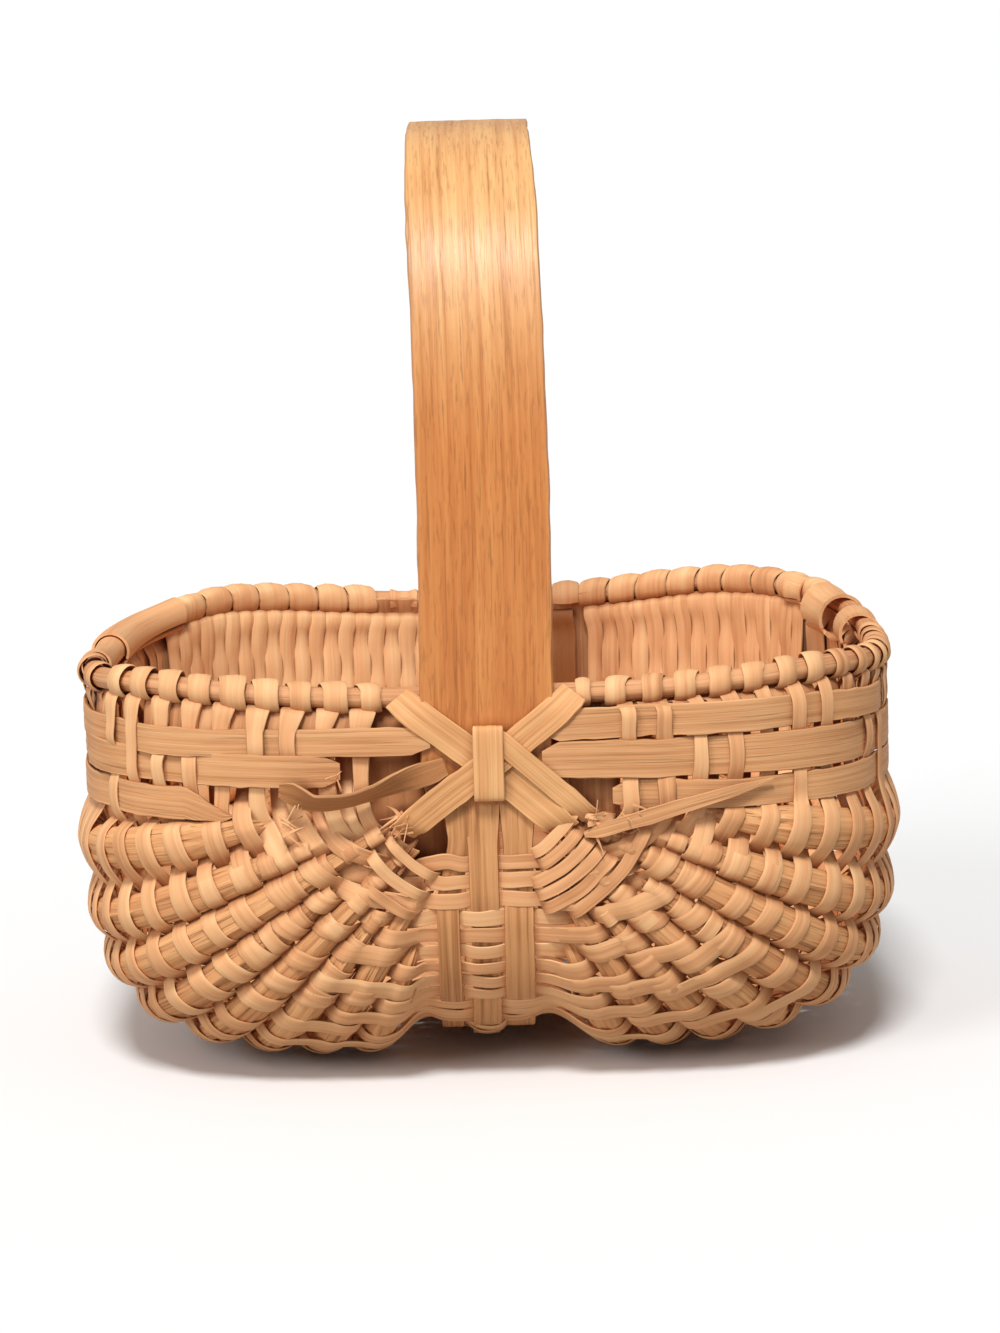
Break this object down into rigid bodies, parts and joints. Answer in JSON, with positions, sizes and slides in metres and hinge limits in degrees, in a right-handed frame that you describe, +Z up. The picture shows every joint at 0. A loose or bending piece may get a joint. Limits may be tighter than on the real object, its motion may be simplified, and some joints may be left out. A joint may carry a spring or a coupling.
{
  "type": "egg basket",
  "caption": "Two-lobed rib basket of split oak: a broad hoop handle and a round rim cross at two lashed poles, with splints woven over ribs that swing from pole to pole.",
  "frame": {"origin": "centre of the bounding box in plan, on the surface that the basket stands on", "axes": "+Z up, X along the rim's long side, the front lashing at -Y and the back lashing at +Y"},
  "size_m": [0.2442, 0.1994, 0.2711],
  "materials": {
    "handle_oak": "smooth split oak, lightly polished by use",
    "rim_oak": "whittled oak rod, satin",
    "rib_oak": "riven oak with open grain",
    "weaver_oak": "thin split oak, matte with fine fibres",
    "lashing_oak": "thin split oak, matte"
  },
  "bodies": {
    "root": {"handle_hoop": "handle_oak", "rim_hoop": "rim_oak", "flat_rib_left_1": "rib_oak", "flat_rib_left_2": "rib_oak", "flat_rib_left_3": "rib_oak", "round_rib_left_1": "rib_oak", "round_rib_left_2": "rib_oak", "round_rib_left_3": "rib_oak", "round_rib_left_4": "rib_oak", "round_rib_left_5": "rib_oak", "round_rib_left_6": "rib_oak", "round_rib_left_7": "rib_oak", "round_rib_left_8": "rib_oak", "flat_rib_right_1": "rib_oak", "flat_rib_right_2": "rib_oak", "flat_rib_right_3": "rib_oak", "round_rib_right_1": "rib_oak", "round_rib_right_2": "rib_oak", "round_rib_right_3": "rib_oak", "round_rib_right_4": "rib_oak", "round_rib_right_5": "rib_oak", "round_rib_right_6": "rib_oak", "round_rib_right_7": "rib_oak", "round_rib_right_8": "rib_oak", "weaver_front_01": "weaver_oak", "weaver_front_02": "weaver_oak", "weaver_front_03": "weaver_oak", "weaver_front_04": "weaver_oak", "weaver_front_05": "weaver_oak", "weaver_front_06": "weaver_oak", "weaver_front_07": "weaver_oak", "weaver_front_08": "weaver_oak", "weaver_front_09": "weaver_oak", "weaver_front_10": "weaver_oak", "weaver_front_11": "weaver_oak", "weaver_front_12": "weaver_oak", "weaver_front_13": "weaver_oak", "weaver_front_14": "weaver_oak", "weaver_back_01": "weaver_oak", "weaver_back_02": "weaver_oak", "weaver_back_03": "weaver_oak", "weaver_back_04": "weaver_oak", "weaver_back_05": "weaver_oak", "weaver_back_06": "weaver_oak", "weaver_back_07": "weaver_oak", "weaver_back_08": "weaver_oak", "weaver_back_09": "weaver_oak", "weaver_back_10": "weaver_oak", "weaver_back_11": "weaver_oak", "weaver_back_12": "weaver_oak", "weaver_back_13": "weaver_oak", "weaver_back_14": "weaver_oak", "lash_front_rising": "lashing_oak", "lash_front_falling": "lashing_oak", "binder_front": "lashing_oak", "lash_back_rising": "lashing_oak", "lash_back_falling": "lashing_oak", "binder_back": "lashing_oak"}
  },
  "joints": []
}
